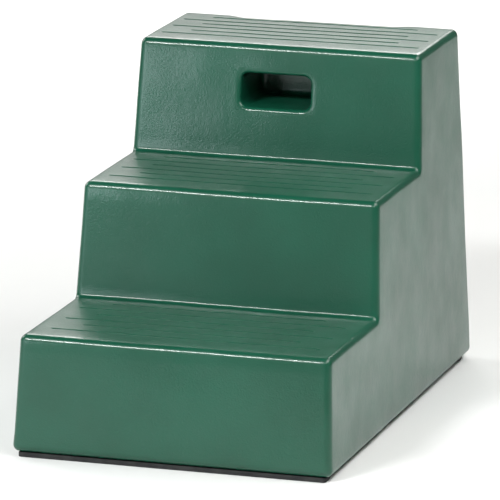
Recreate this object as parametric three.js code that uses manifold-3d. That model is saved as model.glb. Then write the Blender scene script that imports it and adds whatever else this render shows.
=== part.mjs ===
// A free-standing block of three steps for a pool, spa or dock edge: one hollow rotationally moulded
// polyethylene shell, open underneath, on two rubber foot strips held by push-in rivets.
// Millimetres, +Z up. The steps climb towards +Y. The origin is on the floor, under the middle of the block.

import * as THREE from 'three';
import { mergeVertices } from 'three/addons/utils/BufferGeometryUtils.js';
import Module from 'manifold-3d';

const wasm = await Module();
wasm.setup();

// The shell's outside. Distances along Y count from the foot of the first riser, and heights from the
// shell's underside.
const BASE_WIDTH = 534;
const BASE_DEPTH = 882;
const RISE = 190;
const RISER_FEET = [0, 300, 581];
const RISER_LEAN = 0.097;
const BACK_LEAN = 0.054;
const SIDE_LEAN = 0.0414;
const EDGE_RADIUS = 12;
const RISER_FOOT_RADIUS = 7;
const WALL = 6;

// The shallow bay in the back wall, between two corner pillars.
const BAY_DEPTH = 14;
const BAY_HALF_WIDTH = 138;
const BAY_RAMP = 44;

// The anti-slip grooves: long and short ones in turn on every tread.
const GROOVE_COUNT = 6;
const GROOVE_WIDTH = 6;
const GROOVE_DEPTH = 3;
const GROOVE_HALF_LENGTHS = [225, 182];
const FIRST_GROOVE_SETBACK = 59;
const LAST_GROOVE_MARGIN = 37;

// The hand hold in the third riser: a level pocket, closed at its end, that tapers by draft on each side.
const HAND_HOLD = {
  width: 121,
  height: 58,
  corner: 14,
  centreX: -4,
  centreHeight: 493,
  mouthRadius: 6,
  endRadius: 8,
  depth: 115,
  draft: 0.03,
};

// The bottom flange that is left around the open underside.
const FLANGE_WIDTH = 40;
const UNDERSIDE_CORNER = 30;

// Foot strips and their rivets.
const FOOT_HEIGHT = 8;
const STRIP = { halfLength: 257, width: 30, corner: 6, setback: 5 };
const RIVET_X = [-216, -72, 72, 216];
const RIVET = {
  headRadius: 6.5,
  headHeight: 2.4,
  shankRadius: 3.2,
  bulbRadius: 4.4,
  tipRadius: 2,
  bulbLength: 6,
};
const RIVET_RECESS = 1.5;
const CONTACT_GAP = 0.3;

const ARC_STEPS = 4;
const GROOVE_ARC_STEPS = 2;
const ROUND_SIDES = 12;
const SMALLEST_RADIUS = 0.4;

const material = (color, roughness) => new THREE.MeshStandardMaterial({ color, roughness, metalness: 0 });
const greenPolyethylene = material(0x2f6b50, 0.42);
const blackRubber = material(0x17181a, 0.85);
const blackNylon = material(0x202124, 0.55);

// Joining and cutting.

function toSolid(geometry) {
  geometry.deleteAttribute('normal');
  geometry.deleteAttribute('uv');
  const merged = mergeVertices(geometry, 1e-4);
  const vertProperties = new Float32Array(merged.attributes.position.array);
  const triVerts = new Uint32Array(merged.index.array);
  return new wasm.Manifold(new wasm.Mesh({ numProp: 3, vertProperties, triVerts }));
}

function toGeometry(solid) {
  const { vertProperties, triVerts } = solid.getMesh();
  const geometry = new THREE.BufferGeometry();
  geometry.setAttribute('position', new THREE.BufferAttribute(vertProperties, 3));
  geometry.setIndex(new THREE.BufferAttribute(triVerts, 1));
  geometry.computeVertexNormals();
  return geometry;
}

const cut = (solid, cutters) => cutters.reduce((rest, cutter) => rest.subtract(cutter), solid);

// A closed skin through a row of stations. Each station has an outline, counter-clockwise about the way
// that the row runs, and a function that puts a point of the outline in space.
function loft(stations) {
  const ringSize = stations[0].outline.length;
  const positions = stations.flatMap(({ outline, place }) => outline.flatMap((p) => place(p).toArray()));
  const index = [];
  for (let ring = 0; ring < stations.length - 1; ring++) {
    for (let k = 0; k < ringSize; k++) {
      const a = ring * ringSize + k;
      const b = ring * ringSize + ((k + 1) % ringSize);
      index.push(a, b, b + ringSize, a, b + ringSize, a + ringSize);
    }
  }
  const lastRing = (stations.length - 1) * ringSize;
  for (const [a, b, c] of THREE.ShapeUtils.triangulateShape(stations[0].outline, [])) index.push(a, c, b);
  for (const triangle of THREE.ShapeUtils.triangulateShape(stations.at(-1).outline, [])) {
    index.push(...triangle.map((k) => k + lastRing));
  }
  const geometry = new THREE.BufferGeometry();
  geometry.setAttribute('position', new THREE.Float32BufferAttribute(positions, 3));
  geometry.setIndex(index);
  return geometry;
}

function roundedRectangle(halfWidth, halfHeight, radius) {
  const shape = new THREE.Shape();
  const x = halfWidth - radius;
  const y = halfHeight - radius;
  shape.absarc(x, -y, radius, -Math.PI / 2, 0);
  shape.absarc(x, y, radius, 0, Math.PI / 2);
  shape.absarc(-x, y, radius, Math.PI / 2, Math.PI);
  shape.absarc(-x, -y, radius, Math.PI, Math.PI * 1.5);
  shape.closePath();
  return shape;
}

// An upright prism of a rounded rectangle, centred on (0, y), from bottom to top.
function prism({ halfWidth, halfDepth, radius, y, bottom, top, curveSegments = ARC_STEPS }) {
  const options = { depth: top - bottom, bevelEnabled: false, curveSegments };
  const geometry = new THREE.ExtrudeGeometry(roundedRectangle(halfWidth, halfDepth, radius), options);
  geometry.translate(0, y, bottom);
  return geometry;
}

// The side outline, in the YZ plane.

const noseY = (step) => RISER_FEET[step] + RISE * RISER_LEAN;
const treadHeight = (step) => RISE * (step + 1);
const treadBack = (step) => RISER_FEET[step + 1] ?? BASE_DEPTH - treadHeight(step) * BACK_LEAN;

// The sharp corners of the outline, counter-clockwise from the front bottom edge.
function outlineCorners(bayDepth) {
  const topStep = RISER_FEET.length - 1;
  const corners = [
    { y: 0, z: 0 },
    { y: BASE_DEPTH - bayDepth, z: 0 },
    { y: treadBack(topStep) - bayDepth, z: treadHeight(topStep) },
  ];
  for (let step = topStep; step > 0; step--) {
    corners.push({ y: noseY(step), z: treadHeight(step) });
    corners.push({ y: RISER_FEET[step], z: treadHeight(step - 1), hollow: true });
  }
  corners.push({ y: noseY(0), z: treadHeight(0) });
  return corners;
}

// The same outline with every face moved inwards by inset and every corner rounded by an arc.
function roundedOutline(inset, bayDepth) {
  const corners = outlineCorners(bayDepth);
  const points = corners.map(({ y, z }) => new THREE.Vector2(y, z));
  return points.flatMap((point, k) => {
    const before = points.at(k - 1);
    const after = points[(k + 1) % points.length];
    const arrive = point.clone().sub(before).normalize();
    const leave = after.clone().sub(point).normalize();
    const inwards = new THREE.Vector2(-arrive.y, arrive.x);
    const turn = Math.atan2(arrive.cross(leave), arrive.dot(leave));
    const bisector = inwards.clone().add(new THREE.Vector2(-leave.y, leave.x));
    bisector.divideScalar(1 + Math.cos(turn));
    const edgeRadius = Math.max(EDGE_RADIUS - inset, SMALLEST_RADIUS);
    const radius = corners[k].hollow ? -RISER_FOOT_RADIUS - inset : edgeRadius;
    const centre = point.clone().addScaledVector(bisector, inset + radius);
    return Array.from({ length: ARC_STEPS + 1 }, (_, step) => {
      const spoke = inwards.clone().rotateAround(new THREE.Vector2(), (turn * step) / ARC_STEPS);
      return centre.clone().addScaledVector(spoke, -radius);
    });
  });
}

function bayDepthAt(x) {
  const distanceIn = BAY_HALF_WIDTH + BAY_RAMP - Math.abs(x);
  return BAY_DEPTH * THREE.MathUtils.smoothstep(distanceIn, 0, BAY_RAMP);
}

// Where the skin's cross-sections stand on the +X side: round the side edge, then down the bay's ramp.
function crossSections(halfWidth, radius) {
  const sections = [];
  for (let step = 0; step <= ARC_STEPS; step++) {
    const angle = (step / ARC_STEPS) * (Math.PI / 2);
    sections.push({ x: halfWidth - radius * (1 - Math.cos(angle)), inset: radius * (1 - Math.sin(angle)) });
  }
  for (let step = 0; step <= ARC_STEPS; step++) {
    sections.push({ x: BAY_HALF_WIDTH + BAY_RAMP * (1 - step / ARC_STEPS), inset: 0 });
  }
  return sections;
}

// The block's skin, moved inwards by inset: 0 is the outside and WALL the hollow.
function skin(inset) {
  const right = crossSections(BASE_WIDTH / 2 - inset, EDGE_RADIUS - inset);
  const left = right.map((section) => ({ ...section, x: -section.x }));
  return loft([...left, ...right.reverse()].map((section) => ({
    outline: roundedOutline(inset + section.inset, bayDepthAt(section.x)),
    place: ({ x: y, y: z }) => new THREE.Vector3(section.x * (1 - (z * SIDE_LEAN) / (BASE_WIDTH / 2)), y, z),
  })));
}

// Grooves. The wall follows each one, so a rib stands out under the tread. growth is 0 for the groove
// and WALL for the rib.
function grooves(growth) {
  return RISER_FEET.flatMap((_, step) => {
    const first = noseY(step) + FIRST_GROOVE_SETBACK;
    const pitch = (treadBack(step) - LAST_GROOVE_MARGIN - first) / (GROOVE_COUNT - 1);
    const floor = treadHeight(step) - GROOVE_DEPTH - growth;
    return Array.from({ length: GROOVE_COUNT }, (__, k) => toSolid(prism({
      halfWidth: GROOVE_HALF_LENGTHS[k % 2] + growth,
      halfDepth: GROOVE_WIDTH / 2 + growth,
      radius: GROOVE_WIDTH / 2 + growth - SMALLEST_RADIUS,
      y: first + k * pitch,
      bottom: floor,
      top: treadHeight(step) + (growth ? 0 : EDGE_RADIUS),
      curveSegments: GROOVE_ARC_STEPS,
    })));
  });
}

// The hand hold, from its upright end to its mouth, where it leans with the riser. growth is 0 for the pocket
// and WALL for the wall round it.
function handHold(growth) {
  const { width, height, corner, centreX, centreHeight, mouthRadius, endRadius, depth, draft } = HAND_HOLD;
  const mouthY = RISER_FEET[2] + (centreHeight - treadHeight(1)) * RISER_LEAN;
  const endRound = endRadius + growth;
  const quarterTurn = Array.from({ length: ARC_STEPS + 1 }, (_, step) => (step / ARC_STEPS) * (Math.PI / 2));
  const end = quarterTurn.map((angle) => ({
    inwards: depth + growth - endRound * (1 - Math.cos(angle)),
    widening: growth - endRound * (1 - Math.sin(angle)),
  }));
  const mouth = quarterTurn.map((angle) => ({
    inwards: mouthRadius * (1 - Math.sin(angle)),
    widening: mouthRadius * (1 - Math.cos(angle)),
  }));
  const stations = growth ? [...end, { inwards: 0, widening: growth }] : [...end, ...mouth];
  return toSolid(loft([...stations, { ...stations.at(-1), inwards: -WALL }].map(({ inwards, widening }) => {
    const wider = widening - draft * inwards;
    const lean = Math.atan(RISER_LEAN * (1 - inwards / depth));
    const up = new THREE.Vector3(0, Math.sin(lean), Math.cos(lean));
    const shape = roundedRectangle(width / 2 + wider, height / 2 + wider, corner + wider);
    return {
      outline: shape.getPoints(ARC_STEPS).slice(0, -1),
      place: (p) => new THREE.Vector3(centreX + p.x, mouthY + inwards, centreHeight).addScaledVector(up, p.y),
    };
  })));
}

// Where each foot strip's middle line and rivets are.
const stripY = {
  front: STRIP.setback + STRIP.width / 2,
  rear: BASE_DEPTH - BAY_DEPTH - STRIP.setback - STRIP.width / 2,
};

function hole(x, y, radius, bottom, top) {
  const geometry = new THREE.CylinderGeometry(radius, radius, top - bottom, ROUND_SIDES);
  geometry.rotateX(Math.PI / 2);
  geometry.translate(x, y, (top + bottom) / 2);
  return toSolid(geometry);
}

function undersideOpening() {
  const front = FLANGE_WIDTH;
  const back = BASE_DEPTH - BAY_DEPTH - FLANGE_WIDTH;
  return toSolid(prism({
    halfWidth: BASE_WIDTH / 2 - FLANGE_WIDTH,
    halfDepth: (back - front) / 2,
    radius: UNDERSIDE_CORNER,
    y: (front + back) / 2,
    bottom: -WALL,
    top: 2 * WALL,
  }));
}

function stepShell() {
  const outside = cut(toSolid(skin(0)), grooves(0));
  const hollow = cut(toSolid(skin(WALL)), [...grooves(WALL), handHold(WALL)]);
  const rivetHoles = Object.values(stripY).flatMap((y) => RIVET_X.map((x) => (
    hole(x, y, RIVET.shankRadius + CONTACT_GAP, -WALL, 2 * WALL))));
  return cut(outside, [hollow, undersideOpening(), handHold(0), ...rivetHoles]);
}

// A foot strip stands on the floor. The rivet heads sit in pockets in its underside.
function footStrip(y) {
  const { halfLength, width, corner } = STRIP;
  const top = FOOT_HEIGHT - CONTACT_GAP;
  const bar = prism({ halfWidth: halfLength, halfDepth: width / 2, radius: corner, y, bottom: 0, top });
  const pocketTop = RIVET_RECESS + RIVET.headHeight + CONTACT_GAP;
  const pockets = RIVET_X.map((x) => hole(x, y, RIVET.headRadius + 2 * CONTACT_GAP, -1, pocketTop));
  const holes = RIVET_X.map((x) => hole(x, y, RIVET.shankRadius + CONTACT_GAP, -1, FOOT_HEIGHT + 1));
  return cut(toSolid(bar), [...pockets, ...holes]);
}

// A push-in rivet: a domed head below, and a bulb that snaps over the flange.
function pushRivet() {
  const { headRadius, headHeight, shankRadius, bulbRadius, tipRadius, bulbLength } = RIVET;
  const headBottom = RIVET_RECESS;
  const headTop = headBottom + headHeight;
  const bulbBottom = FOOT_HEIGHT + WALL + CONTACT_GAP;
  const profile = [
    [0, headBottom],
    [headRadius * 0.7, headBottom],
    [headRadius, headBottom + headHeight * 0.6],
    [headRadius, headTop],
    [shankRadius, headTop],
    [shankRadius, bulbBottom],
    [bulbRadius, bulbBottom + 2 * CONTACT_GAP],
    [bulbRadius, bulbBottom + bulbLength * 0.4],
    [tipRadius, bulbBottom + bulbLength],
    [0, bulbBottom + bulbLength],
  ];
  const geometry = new THREE.LatheGeometry(profile.map(([r, z]) => new THREE.Vector2(r, z)), ROUND_SIDES);
  geometry.rotateX(Math.PI / 2);
  return geometry;
}

// The assembly.

const stepBlock = new THREE.Group();

function addPiece(name, geometry, pieceMaterial, position = [0, 0, 0]) {
  const mesh = new THREE.Mesh(geometry, pieceMaterial);
  mesh.name = name;
  mesh.position.set(...position);
  stepBlock.add(mesh);
}

const halfDepth = BASE_DEPTH / 2;
addPiece('step_shell', toGeometry(stepShell()), greenPolyethylene, [0, -halfDepth, FOOT_HEIGHT]);
for (const [end, y] of Object.entries(stripY)) {
  addPiece(`${end}_foot_strip`, toGeometry(footStrip(y)), blackRubber, [0, -halfDepth, 0]);
  RIVET_X.forEach((x, k) => {
    addPiece(`${end}_push_rivet_${k + 1}`, pushRivet(), blackNylon, [x, y - halfDepth, 0]);
  });
}

export default stepBlock;
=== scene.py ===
"""The looks of a moulded three-step block: its shell, foot strips and push-in rivets, on a pale studio floor.

Metres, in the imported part's frame: +Z up, the steps climb towards +Y. Heights and depths inside the shell
count from its underside and from the foot of its first riser, as they do on the part.
"""

import math

import bmesh
import bpy
import numpy as np
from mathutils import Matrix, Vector, noise
from mathutils.geometry import delaunay_2d_cdt


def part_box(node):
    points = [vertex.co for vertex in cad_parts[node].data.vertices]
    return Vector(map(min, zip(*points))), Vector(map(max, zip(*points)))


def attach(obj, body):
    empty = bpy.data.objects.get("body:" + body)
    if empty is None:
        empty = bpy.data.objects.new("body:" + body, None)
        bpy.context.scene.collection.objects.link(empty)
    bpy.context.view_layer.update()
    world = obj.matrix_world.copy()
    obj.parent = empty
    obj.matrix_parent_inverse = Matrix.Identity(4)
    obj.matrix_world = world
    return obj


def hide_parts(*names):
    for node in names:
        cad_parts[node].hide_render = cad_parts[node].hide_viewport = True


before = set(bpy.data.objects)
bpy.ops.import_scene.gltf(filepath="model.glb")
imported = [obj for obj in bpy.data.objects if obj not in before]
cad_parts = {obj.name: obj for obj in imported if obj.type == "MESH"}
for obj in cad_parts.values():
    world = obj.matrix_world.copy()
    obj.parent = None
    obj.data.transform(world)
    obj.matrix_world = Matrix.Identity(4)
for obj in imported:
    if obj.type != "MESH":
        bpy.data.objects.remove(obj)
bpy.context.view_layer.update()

MM = 0.001

# The shell.
shell_low, shell_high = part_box("step_shell")
SHELL_LIFT = shell_low[2]
BASE_WIDTH = 534 * MM
BASE_DEPTH = 882 * MM
RISE = 190 * MM
RISER_FEET = [0.0, 300 * MM, 581 * MM]
RISER_LEAN = 0.097
BACK_LEAN = 0.054
SIDE_LEAN = 0.0414
EDGE_RADIUS = 12 * MM
SIDE_EDGE_RADIUS = 11.5 * MM
RISER_FOOT_RADIUS = 7 * MM
WALL = 6 * MM
BAY_DEPTH = 14 * MM
BAY_HALF_WIDTH = 138 * MM
BAY_RAMP = 44 * MM

# Grooves: a flat bottom, walls that roll over into the tread, and a rib under the tread that follows them.
GROOVE_COUNT = 6
GROOVE_DEPTH = 3 * MM
GROOVE_HALF_LENGTHS = [225 * MM, 182 * MM]
FIRST_GROOVE_SETBACK = 59 * MM
LAST_GROOVE_MARGIN = 37 * MM
GROOVE_FLOOR = 1.0 * MM
GROOVE_LIP = 3.2 * MM

# Hand hold: a level pocket, closed at its end, that tapers by HOLD_DRAFT on each side.
HOLD_WIDTH = 121 * MM
HOLD_HEIGHT = 58 * MM
HOLD_CORNER = 14 * MM
HOLD_CENTRE_X = -4 * MM
HOLD_CENTRE_HEIGHT = 493 * MM
HOLD_MOUTH_RADIUS = 6 * MM
HOLD_END_RADIUS = 8 * MM
HOLD_DEPTH = 115 * MM
HOLD_DRAFT = 0.03

# Underside.
FLANGE_WIDTH = 40 * MM
UNDERSIDE_CORNER = 30 * MM
FLANGE_EDGE_RADIUS = 1.5 * MM

# Foot strips and their rivets.
STRIP_HALF_LENGTH = 257 * MM
STRIP_WIDTH = 30 * MM
STRIP_CORNER = 6 * MM
STRIP_EDGE_RADIUS = 1.2 * MM
RIB_GROOVE_WIDTH = 2 * MM
RIB_GROOVE_DEPTH = 0.8 * MM
RIVET_HEAD_RADIUS = 6.5 * MM
RIVET_HEAD_HEIGHT = 2.4 * MM
RIVET_PIN_RADIUS = 2 * MM
RIVET_SHANK_RADIUS = 3.2 * MM
RIVET_BULB_RADIUS = 4.4 * MM
RIVET_TIP_RADIUS = 2 * MM
RIVET_BULB_LENGTH = 6 * MM
CONTACT_GAP = 0.3 * MM
RIVET_SIDES = 40

# How finely the shell is divided.
ARC_STEPS = 8
FLAT_STEP = 20 * MM
PATCH_STEP = 6 * MM
GROOVE_END_STEP = 3 * MM
LOOP_ARC_STEPS = 5

# The soft unevenness of a rotationally moulded wall.
WAVE_HEIGHT = 0.9 * MM
WAVE_SCALE = 5.5
WAVE_SEED = Vector((3.1, 7.7, 1.9))


# ---------------------------------------------------------------- the shell's outline


def nose_y(step):
    return RISER_FEET[step] + RISE * RISER_LEAN


def tread_height(step):
    return RISE * (step + 1)


def tread_back(step):
    if step + 1 < len(RISER_FEET):
        return RISER_FEET[step + 1]
    return BASE_DEPTH - tread_height(step) * BACK_LEAN


def groove_lines(step):
    """Where the middle lines of a tread's grooves are, from the front."""
    first = nose_y(step) + FIRST_GROOVE_SETBACK
    last = tread_back(step) - LAST_GROOVE_MARGIN
    return np.linspace(first, last, GROOVE_COUNT)


def spaced(breaks, step):
    """The break points with evenly spaced points between them, no more than about a step apart."""
    out = [breaks[0]]
    for a, b in zip(breaks, breaks[1:]):
        parts = max(1, round((b - a) / step + 0.3))
        out += [a + (b - a) * k / parts for k in range(1, parts + 1)]
    return out


class Outline:
    """The rounded side outline, counter-clockwise from the front bottom corner, with a normal at each point.

    point - normal * inset is the same outline moved inwards. bay is how far a point moves with the bay in
    the back wall, from 0 to 1. tread is the step whose tread a point is on, or -1.
    """

    def __init__(self, groove_rows):
        top = len(RISER_FEET) - 1
        corners = [(0.0, 0.0, EDGE_RADIUS), (BASE_DEPTH, 0.0, EDGE_RADIUS)]
        corners.append((tread_back(top), tread_height(top), EDGE_RADIUS))
        for step in range(top, 0, -1):
            corners.append((nose_y(step), tread_height(step), EDGE_RADIUS))
            corners.append((RISER_FEET[step], tread_height(step - 1), -RISER_FOOT_RADIUS))
        corners.append((nose_y(0), tread_height(0), EDGE_RADIUS))
        self.points, self.normals, self.bay, self.tread, self.rows = [], [], [], [], {}
        places = [np.array(c[:2]) for c in corners]
        radii = [c[2] for c in corners]
        count = len(places)
        ways = [places[(k + 1) % count] - places[k] for k in range(count)]
        lengths = [float(np.linalg.norm(w)) for w in ways]
        ways = [w / n for w, n in zip(ways, lengths)]
        turns = [self.turn(ways[k - 1], ways[k]) for k in range(count)]
        trims = [abs(math.tan(turns[k] / 2) * radii[k]) for k in range(count)]
        for k in range(count):
            self.add_corner(places[k], ways[k - 1], turns[k], radii[k], 1.0 if k in (1, 2) else 0.0)
            start, end = trims[k], lengths[k] - trims[(k + 1) % count]
            self.add_side(k, places[k], ways[k], start, end, groove_rows)
        self.points = np.array(self.points)
        self.normals = np.array(self.normals)
        self.bay = np.array(self.bay)
        self.tread = np.array(self.tread)

    @staticmethod
    def turn(arrive, leave):
        return math.atan2(arrive[0] * leave[1] - arrive[1] * leave[0], float(arrive @ leave))

    def add_point(self, point, normal, bay=0.0, tread=-1):
        self.points.append(point)
        self.normals.append(normal)
        self.bay.append(bay)
        self.tread.append(tread)

    def add_corner(self, corner, arrive, turn, radius, bay):
        outward = np.array([arrive[1], -arrive[0]])
        middle = self.rotated(outward, turn / 2)
        centre = corner - middle * radius / math.cos(turn / 2)
        for step in range(ARC_STEPS + 1):
            normal = self.rotated(outward, turn * step / ARC_STEPS)
            self.add_point(centre + normal * radius, normal, bay)

    @staticmethod
    def rotated(v, angle):
        c, s = math.cos(angle), math.sin(angle)
        return np.array([v[0] * c - v[1] * s, v[0] * s + v[1] * c])

    def add_side(self, k, corner, way, start, end, groove_rows):
        """The straight stretch that leaves corner k. Its first and last points belong to the corners' arcs."""
        normal = np.array([way[1], -way[0]])
        length_to = lambda y: (y - corner[0]) / way[0]
        fixed, step, tread, patch = [], FLAT_STEP, -1, None
        if k == 0:
            fixed = list(UNDERSIDE_PATCH_Y)
            patch = "underside"
        elif k == 3:
            slope = math.hypot(1, RISER_LEAN)
            fixed = [(corner[1] - HOLD_CENTRE_HEIGHT + side * HOLD_PATCH_HALF_HEIGHT) * slope for side in (-1, 1)]
            patch = "hand_hold"
        elif k in (2, 4, 6):
            tread = 2 - (k - 2) // 2
            offsets = [side * row for row in groove_rows for side in ((-1, 1) if row else (1,))]
            fixed = sorted(length_to(y + offset) for y in groove_lines(tread) for offset in offsets)
        breaks = [start, *fixed, end]
        if patch == "hand_hold":
            inner = spaced(fixed, PATCH_STEP)
            stations = spaced([start, fixed[0]], step) + inner[1:] + spaced([fixed[1], end], step)[1:]
        else:
            stations = spaced(breaks, step)
        if patch:
            base = len(self.points) - 1
            self.rows[patch] = [base + int(np.argmin([abs(s - f) for s in stations])) for f in fixed]
        for s in stations[1:-1]:
            bay = 0.0
            if k == 1:
                bay = 1.0
            elif k == 0 and s > fixed[-1]:
                bay = (s - fixed[-1]) / (end - fixed[-1])
            elif k == 2 and s < fixed[0]:
                bay = 1 - (s - start) / (fixed[0] - start)
            self.add_point(corner + way * s, normal, bay, tread)


HOLD_PATCH_HALF_WIDTH = 90 * MM
HOLD_PATCH_HALF_HEIGHT = 51 * MM
UNDERSIDE_HALF_WIDTH = BASE_WIDTH / 2 - FLANGE_WIDTH
UNDERSIDE_Y = (FLANGE_WIDTH, BASE_DEPTH - BAY_DEPTH - FLANGE_WIDTH)
PATCH_BORDER = 14 * MM
UNDERSIDE_PATCH_Y = (UNDERSIDE_Y[0] - PATCH_BORDER, UNDERSIDE_Y[1] + PATCH_BORDER)
UNDERSIDE_PATCH_HALF_WIDTH = UNDERSIDE_HALF_WIDTH + PATCH_BORDER


def smooth(t):
    t = np.clip(t, 0.0, 1.0)
    return t * t * (3 - 2 * t)


def section_stations():
    """Where the shell's cross-sections stand along X: (x at the base, rounding of the side edge there)."""
    round_start = BASE_WIDTH / 2 - SIDE_EDGE_RADIUS
    groove_ends = (BAY_HALF_WIDTH + BAY_RAMP, 252 * MM)
    inner = spaced([0, HOLD_PATCH_HALF_WIDTH], PATCH_STEP)
    inner += spaced([HOLD_PATCH_HALF_WIDTH, BAY_HALF_WIDTH], FLAT_STEP * 0.7)[1:]
    inner += spaced([BAY_HALF_WIDTH, groove_ends[0]], 4 * MM)[1:]
    inner += spaced([groove_ends[0], UNDERSIDE_PATCH_HALF_WIDTH, groove_ends[1]], GROOVE_END_STEP)[1:]
    right = [(x, 0.0) for x in inner]
    for step in range(ARC_STEPS + 1):
        angle = math.pi / 2 * step / ARC_STEPS
        x = round_start + SIDE_EDGE_RADIUS * math.sin(angle)
        right.append((x, SIDE_EDGE_RADIUS * (1 - math.cos(angle))))
    left = [(-x, inset) for x, inset in reversed(right[1:])]
    return left + right


def groove_sink(x, y, tread, floor, lip):
    """How far the tread dips at (x, y)."""
    lines = groove_lines(tread)
    sink = np.zeros_like(x)
    for k, line in enumerate(lines):
        beyond = np.maximum(np.abs(x) - (GROOVE_HALF_LENGTHS[k % 2] - lip), 0.0)
        away = np.hypot(beyond, y - line)
        sink = np.maximum(sink, 1 - smooth((away - floor) / (lip - floor)))
    return GROOVE_DEPTH * sink


def skin_points(outline, inset, groove_floor, groove_lip):
    """A grid of points, sections by outline points, for the skin moved inwards by inset."""
    rows = []
    for x, edge in section_stations():
        if inset:
            x = math.copysign(max(abs(x) - inset * (abs(x) / (BASE_WIDTH / 2)) ** 8, 0), x)
            edge *= (SIDE_EDGE_RADIUS - inset) / SIDE_EDGE_RADIUS
        ramp = (BAY_HALF_WIDTH + BAY_RAMP - abs(x)) / BAY_RAMP
        bay = BAY_DEPTH * smooth(ramp)
        yz = outline.points - outline.normals * (inset + edge)
        y = yz[:, 0] - bay * outline.bay
        z = yz[:, 1].copy()
        real_x = x * (1 - z * SIDE_LEAN / (BASE_WIDTH / 2))
        for step in range(len(RISER_FEET)):
            on = outline.tread == step
            z[on] -= groove_sink(real_x[on], y[on], step, groove_floor, groove_lip)
        rows.append(np.stack([real_x, y, z], axis=1))
    return np.array(rows)


# ---------------------------------------------------------------- holes through both skins


def rounded_loop(half_u, half_v, corner, count_u, count_v):
    """Points round a rounded rectangle, from the middle of its low corner, counter-clockwise.

    count_u and count_v are the segments on each side, and each half corner takes LOOP_ARC_STEPS of them.
    """
    points = []
    centres = [(1, -1), (1, 1), (-1, 1), (-1, -1)]
    for side in range(4):
        count = count_v if side % 2 else count_u
        from_corner, to_corner = centres[side - 1], centres[side]
        a = np.array([from_corner[0] * (half_u - corner), from_corner[1] * (half_v - corner)])
        b = np.array([to_corner[0] * (half_u - corner), to_corner[1] * (half_v - corner)])
        heading = math.pi / 2 * side - math.pi / 2
        for k in range(count):
            if k < LOOP_ARC_STEPS:
                angle = heading - math.pi / 4 * (1 - k / LOOP_ARC_STEPS)
                points.append(a + corner * np.array([math.cos(angle), math.sin(angle)]))
            elif k > count - LOOP_ARC_STEPS:
                angle = heading + math.pi / 4 * (1 - (count - k) / LOOP_ARC_STEPS)
                points.append(b + corner * np.array([math.cos(angle), math.sin(angle)]))
            else:
                t = (k - LOOP_ARC_STEPS) / (count - 2 * LOOP_ARC_STEPS)
                foot = a + (b - a) * t
                points.append(foot + corner * np.array([math.cos(heading), math.sin(heading)]))
    return np.array(points)


class MeshBuilder:
    """Collects points and faces, then makes one object of them."""

    def __init__(self):
        self.points, self.faces = [], []

    def add_points(self, points):
        start = len(self.points)
        self.points += [tuple(p) for p in points]
        return list(range(start, start + len(points)))

    def bridge(self, lower, upper, flip=False):
        """Quads between two closed loops of the same length."""
        n = len(lower)
        for k in range(n):
            quad = (lower[k], lower[(k + 1) % n], upper[(k + 1) % n], upper[k])
            self.faces.append(quad[::-1] if flip else quad)

    def make(self, name, mat):
        used = sorted({i for face in self.faces for i in face})
        place = {i: k for k, i in enumerate(used)}
        mesh = bpy.data.meshes.new(name)
        mesh.from_pydata([self.points[i] for i in used], [], [[place[i] for i in face] for face in self.faces])
        mesh.materials.append(mat)
        mesh.shade_smooth()
        obj = bpy.data.objects.new(name, mesh)
        bpy.context.scene.collection.objects.link(obj)
        return obj


def border(grid, columns, rows):
    """Grid indices round a rectangle of cells: along the low row, up, back and down."""
    c0, c1 = columns
    r0, r1 = rows
    loop = [grid[c][r0] for c in range(c0, c1)]
    loop += [grid[c1][r] for r in range(r0, r1, 1 if r1 > r0 else -1)]
    loop += [grid[c][r1] for c in range(c1, c0, -1)]
    loop += [grid[c0][r] for r in range(r1, r0, -1 if r1 > r0 else 1)]
    return loop


def cap_side(builder, loop, inward):
    """Closes the outline at one side with triangles over a loose lattice, so that the wall can swell a little."""
    flat = [Vector((builder.points[i][1], builder.points[i][2])) for i in loop]
    edges = [(k, (k + 1) % len(loop)) for k in range(len(loop))]
    boundary = np.array([tuple(p) for p in flat])
    lattice = []
    for y in np.arange(0, BASE_DEPTH, FLAT_STEP):
        for z in np.arange(FLAT_STEP * 0.6, tread_height(2), FLAT_STEP):
            if is_inside(boundary, y, z) and np.min(np.hypot(*(boundary - (y, z)).T)) > FLAT_STEP * 0.45:
                lattice.append(Vector((y, z)))
    coords, _, tris, origin, _, _ = delaunay_2d_cdt(flat + lattice, edges, [], 1, 1e-7)
    side = np.array([builder.points[i] for i in loop])
    plane = np.linalg.lstsq(np.c_[side[:, 1:], np.ones(len(side))], side[:, 0], rcond=None)[0]
    index = {}
    for k, p in enumerate(coords):
        source = [o for o in origin[k] if o < len(loop)]
        index[k] = loop[source[0]] if source else builder.add_points([(plane @ (p.x, p.y, 1), p.x, p.y)])[0]
    for tri in tris:
        face = tuple(index[k] for k in tri)
        builder.faces.append(face if inward else face[::-1])


def is_inside(polygon, y, z):
    a, b = polygon, np.roll(polygon, -1, axis=0)
    crosses = (a[:, 1] > z) != (b[:, 1] > z)
    with np.errstate(divide="ignore", invalid="ignore"):
        at = (b[:, 0] - a[:, 0]) * (z - a[:, 1]) / (b[:, 1] - a[:, 1]) + a[:, 0]
    return bool(np.sum(crosses & (y < at)) % 2)


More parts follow.
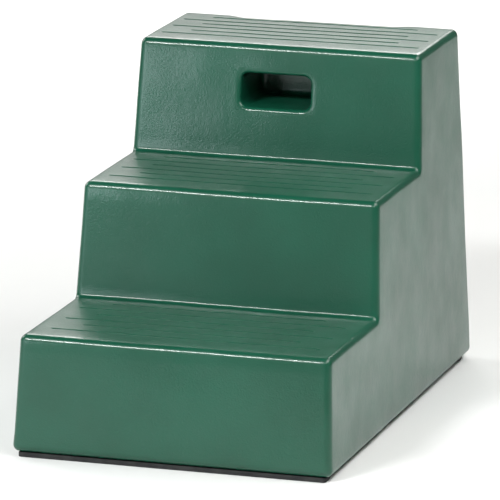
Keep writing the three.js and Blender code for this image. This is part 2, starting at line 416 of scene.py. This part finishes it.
def add_skin(builder, outline, inset, groove_floor, groove_lip, inward):
    """One skin of the shell with its two holes left open. Returns the border loops of the holes."""
    points = skin_points(outline, inset, groove_floor, groove_lip)
    sections, size = points.shape[:2]
    flat = builder.add_points(points.reshape(-1, 3))
    grid = [flat[s * size:(s + 1) * size] for s in range(sections)]
    xs = [abs(x) for x, _ in section_stations()]
    holes = {}
    for name, half in (("hand_hold", HOLD_PATCH_HALF_WIDTH), ("underside", UNDERSIDE_PATCH_HALF_WIDTH)):
        inside = [s for s in range(sections) if xs[s] <= half + 1e-6]
        holes[name] = (inside[0], inside[-1], *outline.rows[name])
    for s in range(sections - 1):
        for k in range(size):
            if any(c0 <= s < c1 and r0 <= k < r1 for c0, c1, r0, r1 in holes.values()):
                continue
            n = (k + 1) % size
            quad = (grid[s][k], grid[s][n], grid[s + 1][n], grid[s + 1][k])
            builder.faces.append(quad[::-1] if inward else quad)
    cap_side(builder, grid[0], inward)
    cap_side(builder, grid[-1], not inward)
    c0, c1, r0, r1 = holes["hand_hold"]
    hand = border(grid, (c0, c1), (r1, r0))
    c0, c1, r0, r1 = holes["underside"]
    under = border(grid, (c0, c1), (r0, r1))
    return {
        "hand_hold": (hand, holes["hand_hold"][1] - holes["hand_hold"][0], holes["hand_hold"][3] - holes["hand_hold"][2]),
        "underside": (under, holes["underside"][1] - holes["underside"][0], holes["underside"][3] - holes["underside"][2]),
    }


def collar(builder, loop, target, steps, flip):
    """Rings of quads from a border loop to target points. Returns the last ring."""
    start = np.array([builder.points[i] for i in loop])
    last = loop
    for k in range(1, steps + 1):
        ring = builder.add_points(start + (target - start) * k / steps)
        builder.bridge(last, ring, flip)
        last = ring
    return last


def quarter_turn(steps):
    return [math.pi / 2 * k / steps for k in range(steps + 1)]


def hold_ring(inwards, widening, count_u, count_v):
    """The pocket's outline at a distance inwards, widened all round. It leans less and less from the riser in."""
    wider = widening - HOLD_DRAFT * inwards
    uv = rounded_loop(HOLD_WIDTH / 2 + wider, HOLD_HEIGHT / 2 + wider, HOLD_CORNER + wider, count_u, count_v)
    lean = math.atan(RISER_LEAN * (1 - inwards / HOLD_DEPTH))
    up = np.array([0, math.sin(lean), math.cos(lean)])
    mouth_y = RISER_FEET[2] + (HOLD_CENTRE_HEIGHT - tread_height(1)) * RISER_LEAN
    centre = np.array([HOLD_CENTRE_X, mouth_y + inwards, HOLD_CENTRE_HEIGHT])
    return centre + np.outer(uv[:, 0], (1, 0, 0)) + np.outer(uv[:, 1], up)


def add_pocket(builder, border_loop, growth, flip):
    """One skin of the hand hold, from its border in the riser to its closed end."""
    loop, count_u, count_v = border_loop
    if growth:
        heel = HOLD_MOUTH_RADIUS
        stations = [(growth + heel * (1 - math.cos(a)), growth + heel * (1 - math.sin(a))) for a in quarter_turn(5)]
    else:
        r = HOLD_MOUTH_RADIUS
        stations = [(r * (1 - math.cos(a)), r * (1 - math.sin(a))) for a in quarter_turn(8)]
    end_radius = HOLD_END_RADIUS + growth
    end = HOLD_DEPTH + growth
    wall_start = stations[-1][0]
    stations += [(wall_start + (end - end_radius - wall_start) * k / 6, growth) for k in range(1, 6)]
    for a in quarter_turn(6):
        stations.append((end - end_radius * (1 - math.sin(a)), growth - end_radius * (1 - math.cos(a))))
    last = collar(builder, loop, hold_ring(*stations[0], count_u, count_v), 3, flip)
    for inwards, widening in stations[1:]:
        ring = builder.add_points(hold_ring(inwards, widening, count_u, count_v))
        builder.bridge(last, ring, flip)
        last = ring
    rim = np.array([builder.points[i] for i in last])
    middle = rim.mean(axis=0)
    for share in (0.75, 0.5, 0.25):
        ring = builder.add_points(middle + (rim - middle) * share)
        builder.bridge(last, ring, flip)
        last = ring
    centre = builder.add_points([middle])[0]
    for k, i in enumerate(last):
        face = (i, last[(k + 1) % len(last)], centre)
        builder.faces.append(face[::-1] if flip else face)


def add_underside_edge(builder, outer, inner):
    """The cut edge of the flange round the open underside."""
    outer_loop, count_u, count_v = outer
    middle_y = sum(UNDERSIDE_Y) / 2
    half_depth = (UNDERSIDE_Y[1] - UNDERSIDE_Y[0]) / 2

    def ring(height, growth):
        uv = rounded_loop(UNDERSIDE_HALF_WIDTH + growth, half_depth + growth, UNDERSIDE_CORNER, count_u, count_v)
        return np.c_[uv[:, 0], uv[:, 1] + middle_y, np.full(len(uv), height)]

    r = FLANGE_EDGE_RADIUS
    last = collar(builder, outer_loop, ring(0.0, r), 2, True)
    for height, centre_growth, sign in ((r, r, -1), (WALL - r, r, 1)):
        angles = [math.pi / 6 * k for k in (1, 2, 3)] if sign < 0 else [math.pi / 6 * k for k in (0, 1, 2, 3)]
        for angle in angles:
            swing = math.cos(angle) if sign < 0 else math.sin(angle)
            inward = math.sin(angle) if sign < 0 else math.cos(angle)
            next_ring = builder.add_points(ring(height + sign * r * swing, centre_growth - r * inward))
            builder.bridge(last, next_ring, True)
            last = next_ring
    start = np.array([builder.points[i] for i in last])
    end = np.array([builder.points[i] for i in inner[0]])
    middle = builder.add_points((start + end) / 2)
    builder.bridge(last, middle, True)
    builder.bridge(middle, inner[0], True)


def wave(point):
    """The wall's slow unevenness at a point, the same on both skins."""
    v = noise.noise_vector(Vector(point) * WAVE_SCALE + WAVE_SEED)
    v += 0.35 * noise.noise_vector(Vector(point) * WAVE_SCALE * 2.7 - WAVE_SEED)
    return v * WAVE_HEIGHT * float(smooth((point[2] - 2 * MM) / (40 * MM)))


def make_shell(mat):
    groove_rows = [0.0, 1.0 * MM, 1.8 * MM, 2.6 * MM, 3.4 * MM, 4.4 * MM]
    rib_rows = [0.0, 4 * MM, 7 * MM, 10.5 * MM]
    builder = MeshBuilder()
    outer = add_skin(builder, Outline(groove_rows), 0.0, GROOVE_FLOOR, GROOVE_LIP, False)
    inner = add_skin(builder, Outline(rib_rows), WALL, GROOVE_FLOOR + WALL * 0.6, GROOVE_LIP + WALL, True)
    add_pocket(builder, outer["hand_hold"], 0.0, False)
    add_pocket(builder, inner["hand_hold"], WALL, True)
    add_underside_edge(builder, outer["underside"], inner["underside"])
    shift = Vector((0, -BASE_DEPTH / 2, SHELL_LIFT))
    builder.points = [tuple(Vector(p) + wave(p) + shift) for p in builder.points]
    shell = builder.make("moulded_shell", mat)
    return shell


# ---------------------------------------------------------------- foot strips and rivets


def centre_of(node):
    low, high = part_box(node)
    return [(a + b) / 2 for a, b in zip(low, high)]


def rivets_of(end):
    return [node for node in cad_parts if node.startswith(end + "_push_rivet")]


def add_cutter(points_and_faces, cutters):
    mesh = bpy.data.meshes.new("cutter")
    mesh.from_pydata(points_and_faces[0], [], points_and_faces[1])
    cutters.append(mesh)


def upright_cylinder(x, y, bottom, top, radius):
    angles = [2 * math.pi * k / RIVET_SIDES for k in range(RIVET_SIDES)]
    low = [(x + radius * math.cos(a), y + radius * math.sin(a), bottom) for a in angles]
    high = [(px, py, top) for px, py, _ in low]
    n = RIVET_SIDES
    sides = [(k, (k + 1) % n, n + (k + 1) % n, n + k) for k in range(n)]
    return low + high, sides + [tuple(range(n))[::-1], tuple(range(n, 2 * n))]


def block(low, high):
    (x0, y0, z0), (x1, y1, z1) = low, high
    points = [(x0, y0, z0), (x1, y0, z0), (x1, y1, z0), (x0, y1, z0)]
    points += [(x, y, z1) for x, y, _ in points]
    return points, [(3, 2, 1, 0), (4, 5, 6, 7), (0, 1, 5, 4), (1, 2, 6, 5), (2, 3, 7, 6), (3, 0, 4, 7)]


def cut(obj, cutters):
    """Cuts the cutter meshes out of an object and keeps the result as its mesh."""
    for mesh in cutters:
        cutter = bpy.data.objects.new("cutter", mesh)
        bpy.context.scene.collection.objects.link(cutter)
        modifier = obj.modifiers.new("cut", "BOOLEAN")
        modifier.operation = "DIFFERENCE"
        modifier.solver = "EXACT"
        modifier.object = cutter
    evaluated = obj.evaluated_get(bpy.context.evaluated_depsgraph_get())
    result = bpy.data.meshes.new_from_object(evaluated)
    for modifier in list(obj.modifiers):
        bpy.data.objects.remove(modifier.object)
        obj.modifiers.remove(modifier)
    obj.data = result


def make_foot_strip(end, mat):
    """A rubber bar with rounded edges, four grooves along its tread and a pocket for each rivet's head."""
    low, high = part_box(end + "_foot_strip")
    y = (low[1] + high[1]) / 2
    r = STRIP_EDGE_RADIUS
    rings = [(low[2] + r * (1 - math.cos(a)), r * (1 - math.sin(a))) for a in quarter_turn(4)]
    rings += [(high[2] - r * (1 - math.sin(a)), r * (1 - math.cos(a))) for a in quarter_turn(4)]
    builder = MeshBuilder()
    loops = []
    for z, inset in rings:
        half = (STRIP_HALF_LENGTH - inset, STRIP_WIDTH / 2 - inset)
        xy = rounded_loop(*half, STRIP_CORNER - inset, 60, 14)
        loops.append(builder.add_points(np.c_[xy[:, 0], xy[:, 1] + y, np.full(len(xy), z)]))
    for a, b in zip(loops, loops[1:]):
        builder.bridge(a, b)
    builder.faces += [tuple(loops[0][::-1]), tuple(loops[-1])]
    strip = builder.make("moulded_" + end + "_strip", mat)
    cutters = []
    below = low[2] - r
    for side in (-1.5, -0.5, 0.5, 1.5):
        middle = y + side * STRIP_WIDTH / 5
        corner = (STRIP_HALF_LENGTH + r, middle + RIB_GROOVE_WIDTH / 2, low[2] + RIB_GROOVE_DEPTH)
        add_cutter(block((-corner[0], middle - RIB_GROOVE_WIDTH / 2, below), corner), cutters)
    for node in rivets_of(end):
        rivet_low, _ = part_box(node)
        x = centre_of(node)[0]
        head_top = rivet_low[2] + RIVET_HEAD_HEIGHT
        pocket = (x, y, below, head_top + CONTACT_GAP, RIVET_HEAD_RADIUS + 2 * CONTACT_GAP)
        add_cutter(upright_cylinder(*pocket), cutters)
        add_cutter(upright_cylinder(x, y, below, high[2] + r, RIVET_SHANK_RADIUS + CONTACT_GAP), cutters)
    cut(strip, cutters)
    strip.data.set_sharp_from_angle(angle=math.radians(35))
    return strip


def make_rivet(node, mat):
    """A push-in rivet turned about its own axis: a domed head with a centre pin, a shank and a tapered bulb."""
    low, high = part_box(node)
    x, y, _ = centre_of(node)
    head_top = low[2] + RIVET_HEAD_HEIGHT
    bulb = high[2] - RIVET_BULB_LENGTH
    dome = [(RIVET_HEAD_RADIUS * math.sin(a), head_top - RIVET_HEAD_HEIGHT * (0.25 + 0.75 * math.cos(a)))
            for a in [math.radians(24 + 66 * k / 6) for k in range(7)]]
    profile = [(RIVET_PIN_RADIUS - 0.2 * MM, low[2]), (RIVET_PIN_RADIUS, low[2] + 0.2 * MM)]
    profile += [(RIVET_PIN_RADIUS, low[2] + 0.7 * MM), (dome[0][0], low[2] + 0.7 * MM), *dome]
    profile += [(RIVET_HEAD_RADIUS, head_top - 0.2 * MM), (RIVET_HEAD_RADIUS - 0.2 * MM, head_top)]
    profile += [(RIVET_SHANK_RADIUS, head_top), (RIVET_SHANK_RADIUS, bulb)]
    for k in range(9):
        share = k / 8
        swell = RIVET_BULB_RADIUS - (RIVET_BULB_RADIUS - RIVET_TIP_RADIUS) * share ** 2
        if k == 0:
            swell = RIVET_BULB_RADIUS - 0.3 * MM
        profile.append((swell, bulb + 2 * CONTACT_GAP + (RIVET_BULB_LENGTH - 2 * CONTACT_GAP) * share))
    builder = MeshBuilder()
    loops = []
    for radius, z in profile:
        angles = [2 * math.pi * k / RIVET_SIDES for k in range(RIVET_SIDES)]
        loops.append(builder.add_points([(x + radius * math.cos(a), y + radius * math.sin(a), z) for a in angles]))
    for a, b in zip(loops, loops[1:]):
        builder.bridge(a, b)
    builder.faces += [tuple(loops[0][::-1]), tuple(loops[-1])]
    rivet = builder.make("turned_" + node, mat)
    rivet.data.set_sharp_from_angle(angle=math.radians(40))
    return rivet


# ---------------------------------------------------------------- materials


class NodeTree:
    """Short ways to add shader nodes to a material."""

    def __init__(self, name):
        self.material = bpy.data.materials.new(name)
        self.material.use_nodes = True
        self.tree = self.material.node_tree
        self.shader = self.tree.nodes["Principled BSDF"]
        self.coords = self.tree.nodes.new("ShaderNodeTexCoord").outputs["Object"]

    def link(self, a, b):
        self.tree.links.new(a, b)

    def noise(self, scale, detail=3.0, roughness=0.5, stretch=None):
        node = self.tree.nodes.new("ShaderNodeTexNoise")
        node.inputs["Scale"].default_value = scale
        node.inputs["Detail"].default_value = detail
        node.inputs["Roughness"].default_value = roughness
        source = self.coords
        if stretch:
            mapping = self.tree.nodes.new("ShaderNodeMapping")
            mapping.inputs["Scale"].default_value = stretch
            self.link(self.coords, mapping.inputs["Vector"])
            source = mapping.outputs["Vector"]
        self.link(source, node.inputs["Vector"])
        return node.outputs["Fac"]

    def span(self, value, from_min, from_max, to_min, to_max):
        node = self.tree.nodes.new("ShaderNodeMapRange")
        node.inputs["From Min"].default_value = from_min
        node.inputs["From Max"].default_value = from_max
        node.inputs["To Min"].default_value = to_min
        node.inputs["To Max"].default_value = to_max
        self.link(value, node.inputs["Value"])
        return node.outputs["Result"]

    def math(self, operation, a, b):
        node = self.tree.nodes.new("ShaderNodeMath")
        node.operation = operation
        for socket, value in zip(node.inputs, (a, b)):
            if isinstance(value, (int, float)):
                socket.default_value = value
            else:
                self.link(value, socket)
        return node.outputs["Value"]

    def mix(self, factor, a, b):
        node = self.tree.nodes.new("ShaderNodeMix")
        node.data_type = "RGBA"
        self.link(factor, node.inputs["Factor"])
        for socket, value in ((node.inputs["A"], a), (node.inputs["B"], b)):
            if isinstance(value, tuple):
                socket.default_value = (*value, 1.0)
            else:
                self.link(value, socket)
        return node.outputs["Result"]

    def bump(self, height, strength, distance, normal=None):
        node = self.tree.nodes.new("ShaderNodeBump")
        node.inputs["Strength"].default_value = strength
        node.inputs["Distance"].default_value = distance
        self.link(height, node.inputs["Height"])
        if normal is not None:
            self.link(normal, node.inputs["Normal"])
        return node.outputs["Normal"]

    def put(self, name, value):
        self.link(value, self.shader.inputs[name])


def green_polyethylene():
    tree = NodeTree("green_polyethylene")
    cloud = tree.span(tree.noise(7.0, 4.0), 0.35, 0.65, 0.0, 1.0)
    colour = tree.mix(cloud, (0.0035, 0.066, 0.035), (0.005, 0.080, 0.044))
    speck = tree.span(tree.noise(900.0, 2.0), 0.62, 0.75, 0.0, 0.35)
    colour = tree.mix(speck, colour, (0.02, 0.12, 0.08))
    tree.put("Base Color", colour)
    rough = tree.span(tree.noise(16.0, 5.0), 0.3, 0.7, 0.29, 0.39)
    tree.put("Roughness", rough)
    tree.shader.inputs["Specular IOR Level"].default_value = 0.35
    tree.shader.inputs["Coat Weight"].default_value = 0.4
    tree.shader.inputs["Coat Roughness"].default_value = 0.11
    peel = tree.bump(tree.noise(90.0, 2.0), 0.2, 0.0005)
    pebble = tree.bump(tree.noise(340.0, 2.0, 0.6), 0.8, 0.0006, peel)
    tree.put("Normal", pebble)
    tree.put("Coat Normal", tree.bump(tree.noise(340.0, 2.0, 0.6), 0.2, 0.0004, peel))
    return tree.material


def black_rubber():
    tree = NodeTree("black_rubber")
    dust = tree.span(tree.noise(40.0, 6.0), 0.4, 0.75, 0.0, 1.0)
    tree.put("Base Color", tree.mix(dust, (0.010, 0.010, 0.011), (0.026, 0.026, 0.025)))
    tree.put("Roughness", tree.span(tree.noise(90.0, 4.0), 0.3, 0.7, 0.62, 0.85))
    tree.put("Normal", tree.bump(tree.noise(1100.0, 3.0), 0.4, 0.0002))
    return tree.material


def black_nylon():
    tree = NodeTree("black_nylon")
    cloud = tree.span(tree.noise(200.0, 4.0), 0.35, 0.7, 0.0, 1.0)
    tree.put("Base Color", tree.mix(cloud, (0.012, 0.012, 0.013), (0.020, 0.020, 0.021)))
    tree.put("Roughness", tree.span(tree.noise(300.0, 3.0), 0.3, 0.7, 0.38, 0.5))
    tree.put("Normal", tree.bump(tree.noise(900.0, 2.0), 0.3, 0.0001))
    return tree.material


def studio_floor():
    tree = NodeTree("studio_floor")
    cloud = tree.span(tree.noise(1.2, 3.0), 0.3, 0.7, 0.0, 1.0)
    tree.put("Base Color", tree.mix(cloud, (0.86, 0.87, 0.87), (0.89, 0.89, 0.88)))
    tree.put("Roughness", tree.span(tree.noise(30.0, 4.0), 0.3, 0.7, 0.75, 0.9))
    return tree.material


# ---------------------------------------------------------------- studio


def aim(obj, target):
    obj.rotation_euler = (Vector(target) - obj.location).to_track_quat("-Z", "Y").to_euler()


def direction(azimuth, elevation):
    """A unit vector towards a place seen from the object. Azimuth 0 is in front, and grows to the right."""
    a, e = math.radians(azimuth), math.radians(elevation)
    return Vector((math.sin(a) * math.cos(e), -math.cos(a) * math.cos(e), math.sin(e)))


CAMERA_AZIMUTH = 16.6
CAMERA_ELEVATION = 12.98
CAMERA_ROLL = 0.48
CAMERA_DISTANCE = 9.264
CAMERA_LENS = 408.0
CAMERA_TARGET = Vector((0.0287, -0.099, 0.2878))

FLOOR_RINGS = (1.5, 3.0, 6.5)

# The studio's brightness by direction. SWEEP_TOP is the sine of the elevation where the white sweep ends.
SWEEP_TOP = 0.62
BACK_LIGHT = 0.08
FRONT_LIGHT = 0.02
CEILING_LIGHT = 0.02

# Softboxes: name, place, the point faced, width and height, power in watts, and colour if it isn't white.
WARM = (1.0, 0.995, 0.975)
COOL = (0.82, 0.97, 1.0)
SOFTBOXES = [
    ("nosing_strip", (-1.21, -3.0, 2.75), (0, 0, 0.4), (1.2, 0.27), 116),
    ("low_panel", (-1.8, -3.9, 0.6), (-0.1, 0, 0.45), (0.8, 0.65), 14, COOL),
    ("left_light", (-1.96, -1.96, 0.69), (0, 0, 0.3), (1.6, 1.2), 12, COOL),
    ("front_floor_light", (0.9, -1.3, 1.4), (0.9, -1.29, 0), (0.8, 0.8), 10),
    ("side_floor_light", (1.1, -0.2, 1.6), (1.1, -0.19, 0), (1.0, 1.4), 26, WARM),
    ("back_floor_light", (0.9, 1.0, 1.4), (0.9, 1.01, 0), (0.8, 0.8), 2, WARM),
    ("backdrop_left", (-3.4, 1.6, 2.0), (-0.6, 2.2, 0), (2.2, 1.8), 72, WARM),
    ("backdrop_far", (-1.0, 4.4, 2.6), (-0.8, 3.2, 0), (3.0, 1.6), 122, WARM),
]


def add_camera():
    data = bpy.data.cameras.new("camera")
    data.lens = CAMERA_LENS
    data.sensor_width = 36.0
    data.clip_end = 100.0
    camera = bpy.data.objects.new("camera", data)
    camera.location = CAMERA_TARGET + direction(CAMERA_AZIMUTH, CAMERA_ELEVATION) * CAMERA_DISTANCE
    aim(camera, CAMERA_TARGET)
    camera.rotation_euler.rotate_axis("Z", math.radians(CAMERA_ROLL))
    bpy.context.scene.collection.objects.link(camera)
    bpy.context.scene.camera = camera


def add_softbox(name, location, target, size, power, colour=(1.0, 1.0, 1.0)):
    data = bpy.data.lights.new(name, "AREA")
    data.shape = "RECTANGLE"
    data.size, data.size_y = size
    data.energy = power
    data.color = colour
    light = bpy.data.objects.new(name, data)
    light.location = location
    light.visible_camera = False
    aim(light, target)
    bpy.context.scene.collection.objects.link(light)


def add_world():
    """A white sweep low down behind and beside the block, a dimmer room in front, and a dark ceiling."""
    world = bpy.data.worlds.new("studio")
    world.use_nodes = True
    nodes, links = world.node_tree.nodes, world.node_tree.links

    def span(value, start, end, low, high):
        node = nodes.new("ShaderNodeMapRange")
        node.interpolation_type = "SMOOTHSTEP"
        for name, number in zip(("From Min", "From Max", "To Min", "To Max"), (start, end, low, high)):
            node.inputs[name].default_value = number
        links.new(value, node.inputs["Value"])
        return node.outputs["Result"]

    def math_node(operation, a, b):
        node = nodes.new("ShaderNodeMath")
        node.operation = operation
        links.new(a, node.inputs[0])
        if isinstance(b, float):
            node.inputs[1].default_value = b
        else:
            links.new(b, node.inputs[1])
        return node.outputs["Value"]

    split = nodes.new("ShaderNodeSeparateXYZ")
    links.new(nodes.new("ShaderNodeTexCoord").outputs["Generated"], split.inputs["Vector"])
    sweep = span(split.outputs["Z"], SWEEP_TOP - 0.15, SWEEP_TOP + 0.15, 1.0, 0.0)
    depth = span(split.outputs["Y"], -0.9, 0.3, FRONT_LIGHT, BACK_LIGHT)
    light = math_node("ADD", math_node("MULTIPLY", sweep, depth), CEILING_LIGHT)
    nodes["Background"].inputs["Color"].default_value = (1.0, 1.0, 1.0, 1.0)
    links.new(light, nodes["Background"].inputs["Strength"])
    bpy.context.scene.world = world


def add_floor():
    """A round floor, so that low down in front the block mirrors the dim room beyond it."""
    builder = MeshBuilder()
    rings = [[(r * math.cos(a), r * math.sin(a), 0) for a in np.linspace(0, 2 * math.pi, 97)[:-1]] for r in FLOOR_RINGS]
    loops = [builder.add_points(ring) for ring in rings]
    for inner, outer in zip(loops, loops[1:]):
        builder.bridge(outer, inner)
    builder.faces.append(tuple(loops[0]))
    builder.make("floor", studio_floor())


# ---------------------------------------------------------------- the scene

add_camera()
add_world()
add_floor()
for light in SOFTBOXES:
    add_softbox(*light)
bpy.context.scene.view_settings.view_transform = "Standard"

GREEN = green_polyethylene()
RUBBER = black_rubber()
NYLON = black_nylon()

shell = make_shell(GREEN)
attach(shell, "root")
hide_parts("step_shell")

for end in ("front", "rear"):
    strip = make_foot_strip(end, RUBBER)
    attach(strip, "root")
    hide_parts(end + "_foot_strip")
    for node in rivets_of(end):
        rivet = make_rivet(node, NYLON)
        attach(rivet, "root")
        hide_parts(node)
